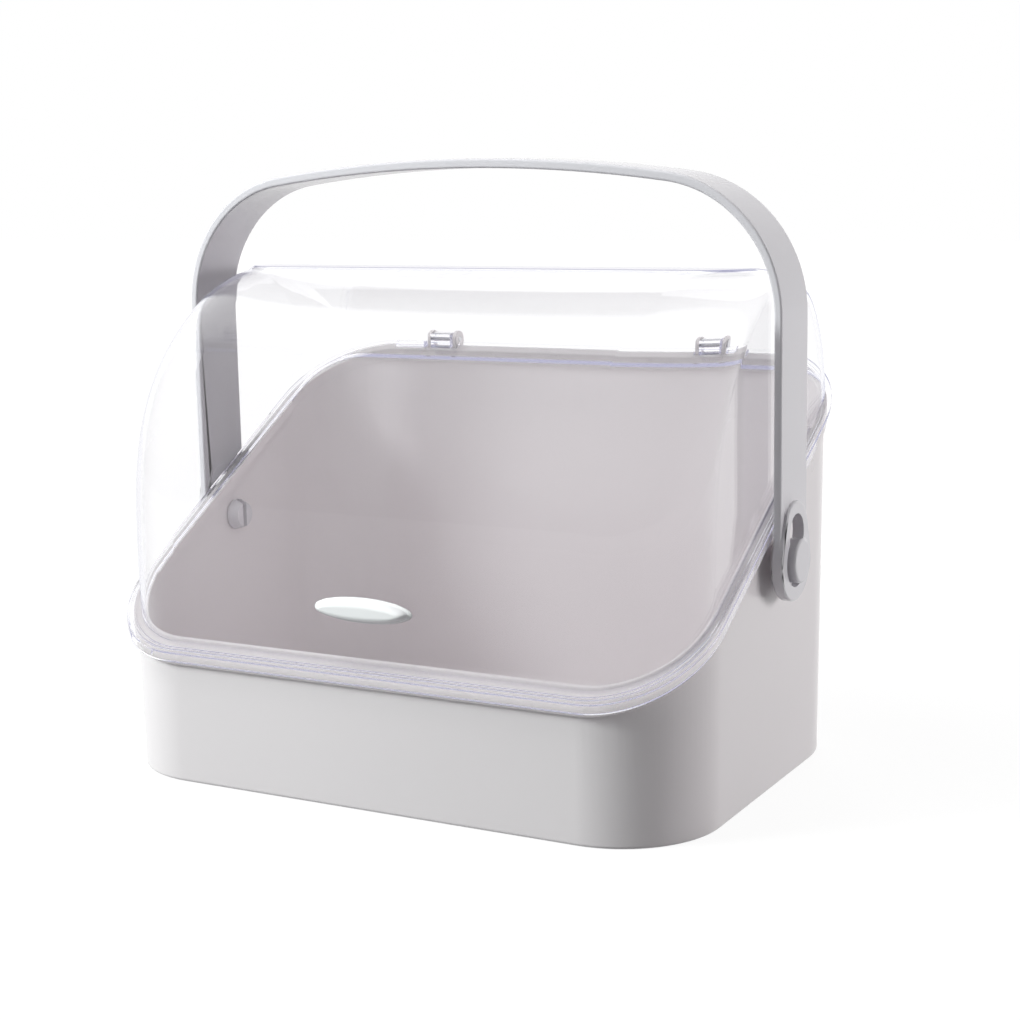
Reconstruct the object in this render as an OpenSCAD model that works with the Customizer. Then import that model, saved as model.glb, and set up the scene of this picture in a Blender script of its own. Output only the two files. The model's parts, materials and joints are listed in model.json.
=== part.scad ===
// Portable cosmetic box: an opaque tub with a slanted rim, a clear domed lid hinged along
// the back of that rim, and a U-shaped carrying handle on two button-headed pivot pins.
// Millimetres. X is to the right, Y to the back, Z up. The origin is the bottom centre of the tub.

/* [Tub] */
// Width of the tub across its foot
tub_w = 300; // [280:1:320]
// Depth of the tub, front to back, across its foot
tub_d = 207; // [195:1:220]
// Radius of the tub's four upright corners
corner_r = 46.5; // [35:0.5:55]
// Thickness of the tub's walls
tub_wall = 2.6; // [2.2:0.1:3.2]
// Thickness of the tub's floor
floor_t = 3; // [2:0.1:4]
// How far each wall leans outwards in 100 mm of height
draft_100 = 1.1; // [0:0.1:1.3]
// Rounding between the floor and the walls, inside
floor_fillet = 9; // [4:0.5:14]

/* [Rim] */
// Height of the rim at the front wall
rim_front_z = 65.4; // [58:0.2:72]
// Slope of the rim, rising to the back
rim_angle = 30.5; // [28:0.1:32]
// How far the lip stands out of the tub wall
lip_out = 1.5; // [1:0.1:1.8]
// Height of the lip, square to the rim
lip_h = 4.6; // [3:0.1:6]
// Height of the seal rib that stands inside the lid, above the rim
rib_h = 1.4; // [0.8:0.1:2]
// Thickness of the seal rib
rib_t = 1.2; // [0.8:0.1:1.6]
// Depth of the ledge under the seal rib
ledge_h = 3.4; // [2:0.1:5]

/* [Lid] */
// Height of the top of the closed lid
lid_top_z = 236.8; // [230:0.2:242]
// Thickness of the clear lid
lid_wall = 1.8; // [1.5:0.1:2.4]
// How far the lid's wall is set in from the outside of the tub
lid_inset = 2.1; // [1.6:0.1:2.6]
// Height at which the front of the lid starts to lean back
arch_z = 82; // [76:1:90]
// Where the top of the lid is level, behind the middle of the tub
crest_y = 1; // [-5:1:12]
// Radius of the lid's back, from the upright wall to the top
back_arch_r = 85; // [70:1:90]
// Rounding along the lid's two upper side edges
side_edge_r = 16; // [8:0.5:20]
// Plan radius of the front corners at the top of the lid
top_front_r = 33; // [22:1:38]
// Plan radius of the back corners at the top of the lid
top_back_r = 9; // [6:1:16]
// How much farther the flange stands out at the front than at the sides
flange_front = 1.6; // [0:0.1:2]
// Thickness of the lid's flange
flange_t = 1.6; // [1.4:0.1:2.4]
// Depth of the skirt that hangs from the flange over the tub's lip
skirt_h = 0.9; // [0.6:0.1:1.6]
// Thickness of that skirt
skirt_t = 1; // [0.8:0.1:1.4]

/* [Finger pull] */
// Length of the oval finger pull
pull_w = 50.5; // [40:0.5:60]
// Height of the finger pull
pull_h = 11.5; // [9:0.5:14]
// How far the finger pull stands out of the lid
pull_out = 6; // [4:0.5:8]
// Height of the middle of the finger pull
pull_z = 92.5; // [88:0.5:96]
// Distance between the finger pull's two pegs
peg_gap = 28; // [20:1:32]
// Radius of the finger pull's pegs
peg_r = 1.5; // [1.2:0.1:2]

/* [Lid hinges] */
// Distance between the middles of the two lid hinges
hinge_gap = 157; // [130:1:160]
// Distance between the two ears of a hinge, middle to middle
ear_gap = 15.5; // [13:0.5:18]
// Thickness of an ear
ear_t = 2.2; // [1.8:0.1:2.8]
// Radius of an ear round the hinge axis
ear_r = 4.5; // [4:0.1:5]
// How far the hinge axis lies behind the tub's wall
hinge_back = 3; // [2.6:0.1:3.6]
// Height of the hinge axis above the back of the rim
hinge_rise = 6.2; // [5.6:0.1:7]
// Radius of the hinge pins
hinge_pin_r = 1.5; // [1.2:0.1:1.8]
// Radius of the knuckle moulded on the lid
knuckle_r = 3.6; // [3.2:0.1:4]
// Lengths of the two stop lugs beside the hinges, left and right
lug_left_w = 18; // [10:1:20]
lug_right_w = 8; // [6:1:20]

/* [Handle] */
// Room for the hand between the lid and the handle's crown
grip_h = 46.5; // [42:0.5:56]
// Width of the handle's strap
strap_w = 33; // [26:0.5:34]
// Thickness of the handle's legs
leg_t = 3.7; // [3:0.1:5]
// Thickness of the handle's crown
crown_t = 4.4; // [3.6:0.1:6]
// Outside radius of the handle's shoulders
shoulder_r = 64; // [50:1:74]
// Radius of the handle's slightly curved crown
crown_r = 760; // [600:10:1200]
// Radius of the boss round each handle pivot
boss_r = 18.5; // [17:0.5:20]
// Thickness of that boss
boss_t = 5.1; // [4.6:0.1:6]
// Radius of the pocket that the pin's head sits in
pocket_r = 12; // [11.4:0.1:13]
// Depth of that pocket
pocket_deep = 3.1; // [2.6:0.1:3.5]
// Radius of the slot's upper lobe
lobe_r = 9; // [7:0.5:10]
// Height of the upper lobe above the pivot
lobe_up = 12.3; // [11:0.1:14]
// Radius of the tub's spacer hub, and of the handle's bearing wall that turns against it
hub_r = 9.4; // [8.6:0.1:10]

/* [Handle pivot] */
// Height of the handle's pivot
pivot_z = 107.5; // [100:0.5:108]
// Distance of the pivot behind the middle of the tub
pivot_y = 6.5; // [2:0.5:8]
// Radius of the pivot pins
pin_r = 7; // [6:0.1:7.4]
// Radius of the pins' button heads
head_r = 10.1; // [9.6:0.1:10.8]
// How far a head stands out of the boss
head_out = 3.2; // [2:0.1:4]
// How far the barb of a pin stands out of its shank
barb_out = 0.9; // [0.6:0.1:1.2]
// Length of a pin's split end inside the tub
snap_len = 5.6; // [4:0.2:8]
// Width of the split
split_w = 3; // [2:0.2:4]

/* [Clearances] */
// Radial clearance of a pin in a hole that turns on it
run_clear = 0.06; // [0.03:0.01:0.09]
// Radial clearance of a pin that is held in its hole
hold_clear = 0.02; // [0.01:0.01:0.05]
// Gap between parts that move past each other
move_gap = 0.3; // [0.25:0.05:0.5]
// Gap between the lid's flange and the handle's legs
handle_gap = 1; // [0.8:0.1:1.5]
// Gap between the hinge ears and the lid
ear_clear = 0.4; // [0.3:0.05:0.6]
// Gap between the closed lid and the rim that it rests on
seat_gap = 0.1; // [0.05:0.01:0.2]

/* [Hidden] */

big = 700;              // larger than the box, for cutting tools
slice = 0.05;           // thickness of a slice that a hull joins
smooth = 96;            // facets of a round surface
lean = draft_100 / 100;
back_rim_y = tub_d / 2;
hinge_x = hinge_gap / 2;

// Height of the slanted rim plane at a distance y behind the middle
function rim_z(y) = rim_front_z + (y + tub_d / 2) * tan(rim_angle);
// How far the drafted wall stands out of its foot at a height z
function grow(z) = lean * z;

wall_x = tub_w / 2 + grow(pivot_z);                 // outside of the side wall at the pivot
flange_out = lip_out + move_gap + skirt_t;          // how far the flange stands out of the wall
flange_x = tub_w / 2 + grow(rim_z(tub_d / 2 - corner_r)) + flange_out; // its widest place
leg_in_x = flange_x + handle_gap;                   // inside of the handle's legs
boss_face_x = leg_in_x + boss_t;
pocket_x = boss_face_x - pocket_deep;
back_wall_z = rim_z(back_rim_y);
hinge_y = back_rim_y + grow(back_wall_z) + hinge_back;
hinge_z = back_wall_z + hinge_rise;
lid_front_y = -tub_d / 2 - grow(pull_z) + lid_inset; // outside of the lid's front wall
pull_seat_y = lid_front_y - lean * pull_h / 2;       // where the finger pull's back lies
handle_top_z = lid_top_z + grip_h + crown_t;
pin_head_r = hinge_pin_r + 0.9;                      // head of a hinge pin
pin_head_t = 1;

// Points of an arc round a centre, from the angle a to the angle b, in n steps
function arc(centre, r, a, b, n) =
    [for (k = [0 : n]) centre + r * [cos(a + (b - a) * k / n), sin(a + (b - a) * k / n)]];

// Four posts at the corners of a rounded rectangle, for a hull to join
module corner_posts(half_w, front_y, back_y, front_r, back_r, z, h = slice) {
    for (side = [-1, 1]) {
        translate([side * (half_w - front_r), front_y + front_r, z])
            cylinder(r = front_r, h = h, $fn = smooth);
        translate([side * (half_w - back_r), back_y - back_r, z])
            cylinder(r = back_r, h = h, $fn = smooth);
    }
}

// One level of the tub's outline at height z, set out by out (or in, when negative)
module tub_level(z, out = 0) {
    off = grow(z) + out;
    corner_posts(tub_w / 2 + off, -tub_d / 2 - off, tub_d / 2 + off,
                 corner_r + off, corner_r + off, z);
}

// The tub's drafted outline as a solid, from the height low to the height high
module tub_prism(out, low, high) {
    hull() {
        tub_level(low, out);
        tub_level(high, out);
    }
}

// Everything between two planes parallel to the rim, low and high measured square to it
module rim_slab(low, high) {
    translate([0, -tub_d / 2, rim_front_z])
        rotate([rim_angle, 0, 0])
            translate([-big / 2, -big / 2, low])
                cube([big, big, high - low]);
}

// ---------------------------------------------------------------- tub

module tub_outside() {
    hull() {
        tub_level(0, -1.2);
        tub_level(0.6, -0.3);
        tub_level(1.5);
        tub_level(lid_top_z);
    }
}

module tub_inside() {
    hull() {
        for (a = [0 : 22.5 : 90])
            tub_level(floor_t + floor_fillet * (1 - sin(a)),
                      -tub_wall - floor_fillet * (1 - cos(a)));
        tub_level(lid_top_z + 1, -tub_wall);
    }
}

// Side view of one hinge ear, in the Y and Z directions
module ear_side() {
    root_z = hinge_z - 26;
    foot_y = tub_d / 2 + grow(root_z) - 0.6;
    polygon(concat(arc([hinge_y, hinge_z], ear_r, 180, 0, 24),
                   [[hinge_y + ear_r, hinge_z - 7], [foot_y, root_z],
                    [foot_y, back_wall_z - 6], [hinge_y - ear_r, back_wall_z - 3]]));
}

// A flat plate of thickness t, drawn in Y and Z, centred on x
module plate_at(x, t) {
    translate([x - t / 2, 0, 0])
        rotate([90, 0, 90])
            linear_extrude(t)
                children();
}

module pivot_hole(side, r) {
    translate([side * (boss_face_x + 1), pivot_y, pivot_z])
        rotate([0, -90 * side, 0])
            cylinder(r = r, h = boss_face_x - wall_x + tub_wall + 8, $fn = smooth);
}

module hinge_hole(side, r) {
    translate([side * hinge_x - ear_gap, hinge_y, hinge_z])
        rotate([0, 90, 0])
            cylinder(r = r, h = 2 * ear_gap, $fn = 48);
}

// Rib that stands up inside the lid along the front and the sides, with a ledge below it
module seal_rib() {
    rib_in = lid_wall + move_gap;
    rib_end_y = tub_d / 2 - corner_r;
    difference() {
        union() {
            intersection() {
                tub_prism(-tub_wall / 2, 0, lid_top_z);
                rim_slab(-ledge_h, 0);
            }
            intersection() {
                lid_solid(rib_in);
                rim_slab(-ledge_h / 2, rib_h);
            }
        }
        lid_solid(rib_in + rib_t);
        translate([-big / 2, rib_end_y, 0]) cube([big, big, big]);
    }
}

module tub() {
    color("whitesmoke")
        difference() {
            union() {
                difference() {
                    union() {
                        difference() {
                            tub_outside();
                            rim_slab(0, big);
                        }
                        intersection() {
                            tub_prism(lip_out, 0, lid_top_z);
                            rim_slab(-lip_h, 0);
                        }
                        for (side = [-1, 1]) {
                            pivot_plate(side, wall_x - tub_wall / 2, leg_in_x - move_gap)
                                circle(r = hub_r, $fn = smooth);
                            for (ear = [-1, 1])
                                plate_at(side * hinge_x + ear * ear_gap / 2, ear_t) ear_side();
                        }
                    }
                    tub_inside();
                }
                seal_rib();
            }
            for (side = [-1, 1]) {
                pivot_hole(side, pin_r + hold_clear);
                hinge_hole(side, hinge_pin_r + hold_clear);
            }
        }
}

// ---------------------------------------------------------------- lid

// Front edge of the lid's outside at height z: upright, then a flattened arch to the crest
function arch_share(z) = min(1, max(0, (z - arch_z) / (lid_top_z - arch_z)));
function lid_front(z) =
    let (foot = -tub_d / 2 - grow(z) + lid_inset)
    crest_y + (foot - crest_y) * pow(1 - pow(arch_share(z), 3.8), 0.83);
// Part of a quarter circle of radius r that ends at the top of the lid, at height z
function top_round(z, r) =
    let (up = max(0, z - (lid_top_z - r)))
    r - sqrt(max(0, r * r - up * up));
function lid_back(z) = tub_d / 2 + grow(min(z, lid_top_z - back_arch_r)) - lid_inset
    - top_round(z, back_arch_r);
function lid_half_w(z) = tub_w / 2 + grow(min(z, arch_z)) - lid_inset - top_round(z, side_edge_r);
function mix(a, b, share) = a + (b - a) * share;

// The lid's outside, or its inside when shrunk by the wall
module lid_solid(shrink) {
    levels = [for (k = [0 : 13]) arch_z + (lid_top_z - arch_z) * sin(k * 90 / 13)];
    hull()
        for (z = concat([rim_front_z - 12], levels)) {
            share = arch_share(z);
            front_r = mix(corner_r - lid_inset, top_front_r, pow(share, 8));
            back_r = mix(corner_r - lid_inset, top_back_r, pow(share, 1.6));
            front = lid_front(z);
            back = lid_back(z);
            fit = min(1, (back - front - 0.5) / (front_r + back_r));
            corner_posts(lid_half_w(z) - shrink, front + shrink, back - shrink,
                         front_r * fit - shrink, back_r * fit - shrink, z - shrink * share);
        }
}

// The flange's drafted outline, which reaches farther out at the front and at its corners
module flange_prism(out) {
    hull()
        for (z = [0, lid_top_z])
            corner_posts(tub_w / 2 + grow(z) + out, -tub_d / 2 - grow(z) - out - flange_front,
                         tub_d / 2 + grow(z) + out, corner_r + grow(z), corner_r + grow(z), z);
}

// The ring of the flange, with the skirt under its front and sides
module lid_flange() {
    skirt_end_y = tub_d / 2 - corner_r - 8;
    difference() {
        intersection() {
            flange_prism(flange_out);
            rim_slab(-skirt_h, flange_t);
        }
        difference() {
            flange_prism(flange_out - skirt_t);
            rim_slab(seat_gap, flange_t + 1);
        }
        translate([-big / 2, skirt_end_y, 0])
            cube([big, big, rim_z(skirt_end_y) - 0.5]);
        difference() {
            translate([-big / 2, skirt_end_y, 0]) cube([big, big, big]);
            rim_slab(0, big);
        }
    }
}

// Side view of the knuckle and the web that joins it to the lid
module knuckle_side() {
    wall_y = tub_d / 2 + grow(hinge_z) - lid_inset - lid_wall / 2;
    round_end = 100; // degrees of the knuckle's round above and below the way it points
    polygon(concat(arc([hinge_y, hinge_z], knuckle_r, round_end, -round_end, 24),
                   [[hinge_y - 1.5, rim_z(hinge_y - 1.5) + 0.5], [wall_y, rim_z(wall_y) + 0.5],
                    [wall_y, hinge_z + knuckle_r - 0.8]]));
}

// Side view of a stop lug on the back of the lid
module lug_side() {
    wall_y = tub_d / 2 + grow(hinge_z) - lid_inset - lid_wall / 2;
    lug_y = tub_d / 2 + grow(hinge_z) + 1.4;
    polygon([[wall_y, rim_z(wall_y) + 0.5], [lug_y, rim_z(lug_y) + 0.5],
             [lug_y, hinge_z - 2.5], [lug_y - 1, hinge_z - 1.5], [wall_y, hinge_z - 1.5]]);
}

// Room in the flange for an ear, and for the pin's head on the outer one
module ear_notch(middle, from, to) {
    translate([middle + min(from, to), hinge_y - ear_r - ear_clear, 0])
        cube([abs(to - from), big, big]);
}

module lid() {
    knuckle_len = ear_gap - ear_t - 2 * ear_clear;
    ear_end = ear_gap / 2 + ear_t / 2;
    lug_start = ear_end + ear_clear + pin_head_t;
    color("lavender", 0.35)
        difference() {
            union() {
                difference() {
                    lid_solid(0);
                    rim_slab(-big, seat_gap);
                }
                lid_flange();
                for (side = [-1, 1])
                    plate_at(side * hinge_x, knuckle_len) knuckle_side();
                plate_at(-hinge_x - lug_start - lug_left_w / 2, lug_left_w) lug_side();
                plate_at(hinge_x + lug_start + lug_right_w / 2, lug_right_w) lug_side();
            }
            lid_solid(lid_wall);
            for (side = [-1, 1]) {
                ear_notch(side * hinge_x, -side * knuckle_len / 2, -side * (ear_end + ear_clear));
                ear_notch(side * hinge_x, side * knuckle_len / 2, side * lug_start);
                hinge_hole(side, hinge_pin_r + run_clear);
                translate([side * peg_gap / 2, lid_front_y - 10, pull_z])
                    rotate([-90, 0, 0])
                        cylinder(r = peg_r + 2 * hold_clear, h = 20, $fn = 48);
            }
        }
}

// ---------------------------------------------------------------- finger pull

// An oval disc, standing upright, from y forwards, of the width w and the height h
module oval_disc(w, h, y, up = 0, thick = 0.1) {
    translate([0, y, pull_z + up])
        rotate([90, 0, 0])
            scale([w / 2, h / 2, 1])
                cylinder(r = 1, h = thick, $fn = 72);
}

module lid_pull() {
    plate = 1.2;
    stake_r = peg_r + 1;
    wall_in_y = lid_front_y + lid_wall;
    rise = pull_out - plate;
    color("white")
        union() {
            hull() {
                oval_disc(pull_w, pull_h, pull_seat_y, 0, plate);
                for (a = [20, 40, 60, 78])
                    oval_disc(pull_w - 3 - 9 * (1 - cos(a)), (pull_h - 1.5) * cos(a * 0.8),
                              pull_seat_y - plate - rise * sin(a), 0.6 * sin(a));
            }
            for (side = [-1, 1])
                translate([side * peg_gap / 2, pull_seat_y - 1, pull_z])
                    rotate([-90, 0, 0])
                        rotate_extrude($fn = 48)
                            polygon([[0, 0], [peg_r, 0], [peg_r, wall_in_y - pull_seat_y + 1.2],
                                     [stake_r, wall_in_y - pull_seat_y + 1.2],
                                     [peg_r, wall_in_y - pull_seat_y + 2.2],
                                     [0, wall_in_y - pull_seat_y + 2.2]]);
        }
}

// ---------------------------------------------------------------- handle

// Outline under the handle: upright sides, round shoulders and a slightly curved crown
module bail_area(half_w, top, shoulder, crown) {
    tilt = asin((half_w - shoulder) / (crown - shoulder));
    shoulder_z = top - crown + (crown - shoulder) * cos(tilt);
    polygon(concat([[half_w, pivot_z]],
                   arc([half_w - shoulder, shoulder_z], shoulder, 0, 90 - tilt, 32),
                   arc([0, top - crown], crown, 90 - tilt + 0.5, 90 + tilt - 0.5, 32),
                   arc([shoulder - half_w, shoulder_z], shoulder, 90 + tilt, 180, 32),
                   [[-half_w, pivot_z]]));
}

// Egg shape round two circles, the larger at the pivot and the smaller above it
module egg(r_low, r_high, up) {
    tilt = asin((r_low - r_high) / up);
    polygon(concat(arc([0, 0], r_low, 180 - tilt, 360 + tilt, 72),
                   arc([0, up], r_high, tilt, 180 - tilt, 36)));
}

// A plate in Y and Z round the pivot, between two distances x_in and x_out on one side
module pivot_plate(side, x_in, x_out) {
    translate([side > 0 ? x_in : -x_out, pivot_y, pivot_z])
        rotate([90, 0, 90])
            linear_extrude(x_out - x_in)
                children();
}

module handle() {
    leg_out_x = leg_in_x + leg_t;
    inside_top = handle_top_z - crown_t;
    boss_top_r = boss_r - 3.8;
    color("gainsboro")
        difference() {
            union() {
                translate([0, pivot_y + strap_w / 2, 0])
                    rotate([90, 0, 0])
                        linear_extrude(strap_w)
                            difference() {
                                bail_area(leg_out_x, handle_top_z, shoulder_r, crown_r);
                                bail_area(leg_in_x, inside_top, shoulder_r - leg_t, crown_r - crown_t);
                            }
                for (side = [-1, 1])
                    pivot_plate(side, leg_in_x, boss_face_x) egg(boss_r, boss_top_r, lobe_up);
            }
            for (side = [-1, 1]) {
                pivot_hole(side, pin_r + run_clear);
                pivot_plate(side, pocket_x, boss_face_x + 1) {
                    circle(r = pocket_r, $fn = smooth);
                    translate([0, lobe_up]) circle(r = lobe_r, $fn = smooth);
                }
                pivot_plate(side, leg_in_x - 1, boss_face_x + 1)
                    difference() {
                        translate([0, lobe_up]) circle(r = lobe_r, $fn = smooth);
                        circle(r = hub_r, $fn = smooth);
                    }
            }
        }
}

// ---------------------------------------------------------------- pins

// Half outline of a pivot pin: radius across, distance out of the tub's middle upwards
module pivot_pin_profile() {
    wall_in_x = wall_x - tub_wall;
    barb_x = wall_in_x - move_gap;
    end_x = barb_x - snap_len;
    seat_x = pocket_x + move_gap;
    face_x = boss_face_x + head_out;
    edge = 1.2;
    polygon(concat(
        [[0, end_x], [pin_r - 0.8, end_x], [pin_r + barb_out, barb_x - 1.6], [pin_r + barb_out, barb_x],
         [pin_r, barb_x], [pin_r, seat_x], [head_r, seat_x]],
        [for (a = [0 : 15 : 90]) [head_r - edge + edge * cos(a), face_x - edge + edge * sin(a)]],
        [[0, face_x]]));
}

module pivot_pin(side) {
    split_deep = snap_len + tub_wall / 2 + move_gap;
    end_x = wall_x - tub_wall - move_gap - snap_len;
    color("gainsboro")
        difference() {
            translate([0, pivot_y, pivot_z])
                rotate([0, 90 * side, 0])
                    rotate_extrude($fn = smooth)
                        pivot_pin_profile();
            translate([side > 0 ? end_x - 1 : -end_x - split_deep, pivot_y - split_w / 2, pivot_z - 2 * pin_r])
                cube([split_deep + 1, split_w, 4 * pin_r]);
        }
}

module pivot_pin_left() { pivot_pin(-1); }
module pivot_pin_right() { pivot_pin(1); }

module hinge_pin(side) {
    pin_len = ear_gap + ear_t + 0.6;
    color("silver")
        translate([side * hinge_x, hinge_y, hinge_z])
            rotate([0, 90 * side, 0]) {
                translate([0, 0, -pin_len / 2])
                    cylinder(r = hinge_pin_r, h = pin_len, $fn = 48);
                translate([0, 0, ear_gap / 2 + ear_t / 2])
                    cylinder(r = pin_head_r, h = pin_head_t, $fn = 48);
            }
}

module hinge_pin_left() { hinge_pin(-1); }
module hinge_pin_right() { hinge_pin(1); }

tub();
lid();
lid_pull();
handle();
pivot_pin_left();
pivot_pin_right();
hinge_pin_left();
hinge_pin_right();
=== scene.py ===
"""Looks of a portable cosmetic box: white tub with a slanted rim, clear domed lid, carrying handle.

Everything is modelled in millimetres in the frame's own axes, X to the right, Y to the back and
Z up, and each finished piece is brought to metres.
"""

import json
import math

import bmesh
import bpy
from mathutils import Matrix, Vector


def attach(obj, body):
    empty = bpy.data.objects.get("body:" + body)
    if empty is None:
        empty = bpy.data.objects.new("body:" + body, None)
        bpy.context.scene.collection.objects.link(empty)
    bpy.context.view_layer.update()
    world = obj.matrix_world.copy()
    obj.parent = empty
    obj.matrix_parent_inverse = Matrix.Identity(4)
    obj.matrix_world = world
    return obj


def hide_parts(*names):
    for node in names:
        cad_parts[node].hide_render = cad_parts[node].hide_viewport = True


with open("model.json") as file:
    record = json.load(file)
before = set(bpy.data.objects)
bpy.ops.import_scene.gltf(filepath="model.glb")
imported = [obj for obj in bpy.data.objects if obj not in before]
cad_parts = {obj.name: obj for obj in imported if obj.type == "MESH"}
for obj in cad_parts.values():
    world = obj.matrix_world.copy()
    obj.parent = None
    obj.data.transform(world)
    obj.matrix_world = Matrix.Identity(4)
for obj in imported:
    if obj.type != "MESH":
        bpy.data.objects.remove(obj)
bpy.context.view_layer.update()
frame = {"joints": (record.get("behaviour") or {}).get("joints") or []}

METRES = 0.001  # of a millimetre

# ---------------------------------------------------------------- driving sizes

# tub
HALF_W = 150  # half its width at the foot
HALF_D = 103.5  # half its depth at the foot
CORNER_R = 46.5  # upright corners in plan
LEAN = 0.011  # how far a wall leans out for each unit of height
TUB_WALL = 2.6
FLOOR_T = 3
FLOOR_FILLET = 9
FOOT_EDGE = 1.6  # rounding of the edge that the tub stands on

# rim, measured from the slanted plane that the lid rests on
RIM_FRONT_Z = 65.4
RIM_ANGLE = math.radians(30.5)
RIM_NORMAL = Vector((0, -math.sin(RIM_ANGLE), math.cos(RIM_ANGLE)))
WALL_CUT = 1  # how far below the rim the walls end inside the lip
LIP_OUT = 1.5
LIP_H = 6
LIP_EDGE = 0.7
RIB_H = 1.4
RIB_T = 1.2
RIB_EDGE = 0.3
RIB_FREE = 0.5  # height above the rim from which the rib's edges are rounded
LEDGE_H = 3.4

# lid
LID_TOP = 236.8
LID_WALL = 1.8
LID_INSET = 2.1  # of the lid's foot from the tub's wall
ARCH_Z = 82  # where the front starts to bow back
CREST_Y = 1  # where it reaches the top
FRONT_BOW = (3.8, 0.83)  # powers that shape the bow: a late start and a round end
BACK_ARCH_R = 85
SIDE_EDGE_R = 16
TOP_FRONT_R = 33
TOP_BACK_R = 9
FRONT_CORNER_BEND = 8  # powers with which the corners go from their foot to their top radius
BACK_CORNER_BEND = 1.6
DOME_FOOT = 12  # how far the lid's form reaches below the rim's lowest point before it is cut

# flange round the lid's mouth
FLANGE_OUT = 2.8
FLANGE_FRONT = 1.6  # how much farther it reaches at the front
FLANGE_T = 1.6
FLANGE_EDGE = 0.45
SKIRT_H = 2.6
SKIRT_T = 1.0
SKIRT_EDGE = 0.3
SKIRT_END = 8  # how far in front of the back corners the skirt ends
GROOVES = (1.3, 2.6)  # from the flange's outside
GROOVE_W = 0.5
GROOVE_DEEP = 0.35
GROOVE_EDGE = 0.1
GROOVE_PAST = 2  # how far the cut for a groove runs out above the flange

# gaps
MOVE_GAP = 0.3
HANDLE_GAP = 1  # between the lid's flange and the handle's legs
SEAT_GAP = 0.1
RUN_CLEAR = 0.06

# finger pull
PULL_W = 50.5
PULL_H = 11.5
PULL_OUT = 6
PULL_Z = 92.5
PLATE_T = 1.2
PLATE_EDGE = 0.35
KNOB_STEP = (3, 1.5)  # how much narrower and lower the knob is than its plate
KNOB_DRAW = 9  # how much the knob narrows towards its top
PEG_GAP = 28
PEG_R = 1.5
PEG_FIT = 0.2  # between a peg and its hole
PEG_SPREAD = 1  # how far a peg's spread end stands out
PEG_HEAD = 0.9  # the same at its foot, and its rounding
PEG_HEAD_T = 1

# hinges
HINGE_X = 78.5
EAR_GAP = 15.5
EAR_T = 2.2
EAR_R = 4.5
EAR_EDGE = 0.35
EAR_ROOT = 26  # how far below the hinge pin an ear ends on the tub's back
EAR_CLEAR = 0.4
KNUCKLE_R = 3.6
KNUCKLE_EDGE = 0.3
KNUCKLE_LIFT = 0.4  # of the knuckles' and lugs' undersides from the flange's
HINGE_PIN_R = 1.5
PIN_TIP = 0.3  # how far a hinge pin's tip stands out of its ear
PIN_TIP_EDGE = 0.25
PIN_HEAD_R = 2.4
PIN_HEAD_T = 1
PIN_HEAD_EDGE = 0.35
PIN_HEAD_BACK_EDGE = 0.1
LUGS = ((-1, 18), (1, 8))  # side and length of the stop lugs beside the hinges
LUG_OUT = 1.4
LUG_LOW = 8  # from the hinge pin down to a lug's foot and top
LUG_HIGH = 1.5
LUG_EDGE = 0.6

# handle
LEG_T = 3.7
LEG_EDGE = 1.1
CROWN_T = 4.4
CROWN_TOP = 287.7
STRAP_W = 33
SHOULDER_R = 64
CROWN_R = 760
BOSS_R = 18.5
BOSS_NARROW = 3.8  # how much smaller the boss's radius is at the keyhole's end
BOSS_T = 5.1
BOSS_EDGE = 1.0
LOBE_R = 9
LOBE_UP = 12.3
POCKET_R = 12
POCKET_DEEP = 3.1
HUB_R = 9.4
HUB_EDGE = 0.4

# pivot pins
PIN_R = 7
HEAD_R = 10.1
HEAD_EDGE = 1.2
HEAD_OUT = 3.2
HEAD_BACK_EDGE = 0.3
SNAP_LEN = 5.6
LEAD_IN = 0.8
SPLIT_W = 3
SPLIT_PAST = 1  # how far the cut for the split runs out past the pin's end
BARB_OUT = 0.9
BARB_SHOULDER = 0.2
BARB_SLOPE_END = 1.6  # from the barb's back to where its slope ends
BARB_WIDEST = 1.3  # and to where it is widest

joint_at = {joint["name"]: Vector(joint["pos_m"]) / METRES for joint in frame["joints"]}
HINGE = joint_at["lid_hinge"]
PIVOT = joint_at["handle_swing"]


def rim_z(y):
    """Height of the slanted rim plane at the depth y."""
    return RIM_FRONT_Z + (y + HALF_D) * math.tan(RIM_ANGLE)


WALL_X = HALF_W + LEAN * PIVOT.z
LEG_IN = HALF_W + LEAN * rim_z(HALF_D - CORNER_R) + FLANGE_OUT + HANDLE_GAP
BOSS_FACE = LEG_IN + BOSS_T
POCKET_X = BOSS_FACE - POCKET_DEEP


# ---------------------------------------------------------------- modelling by hand

CLOSE = 0.001  # mm within which two points count as one
UPWARD = 0.9  # cosine above which a face or an edge counts as facing or running straight up


def show_only(*objects):
    """Leave edit mode and select just these objects, the last one active."""
    if bpy.context.object and bpy.context.object.mode == "EDIT":
        bpy.ops.object.mode_set(mode="OBJECT")
    bpy.ops.object.select_all(action="DESELECT")
    for obj in objects:
        obj.select_set(True)
    bpy.context.view_layer.objects.active = objects[-1]


def begin_edit(obj, mode="FACE"):
    """Enter edit mode with nothing selected."""
    show_only(obj)
    bpy.ops.object.mode_set(mode="EDIT")
    bpy.ops.mesh.select_mode(type=mode)
    bpy.ops.mesh.select_all(action="DESELECT")


def pick(kind, test):
    """Select the verts, edges or faces of the mesh being edited that pass a test."""
    mesh = bpy.context.object.data
    data = bmesh.from_edit_mesh(mesh)
    for part in getattr(data, kind):
        if test(part):
            part.select_set(True)
    bmesh.update_edit_mesh(mesh)


def end_edit():
    """Leave edit mode."""
    bpy.ops.object.mode_set(mode="OBJECT")


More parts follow.
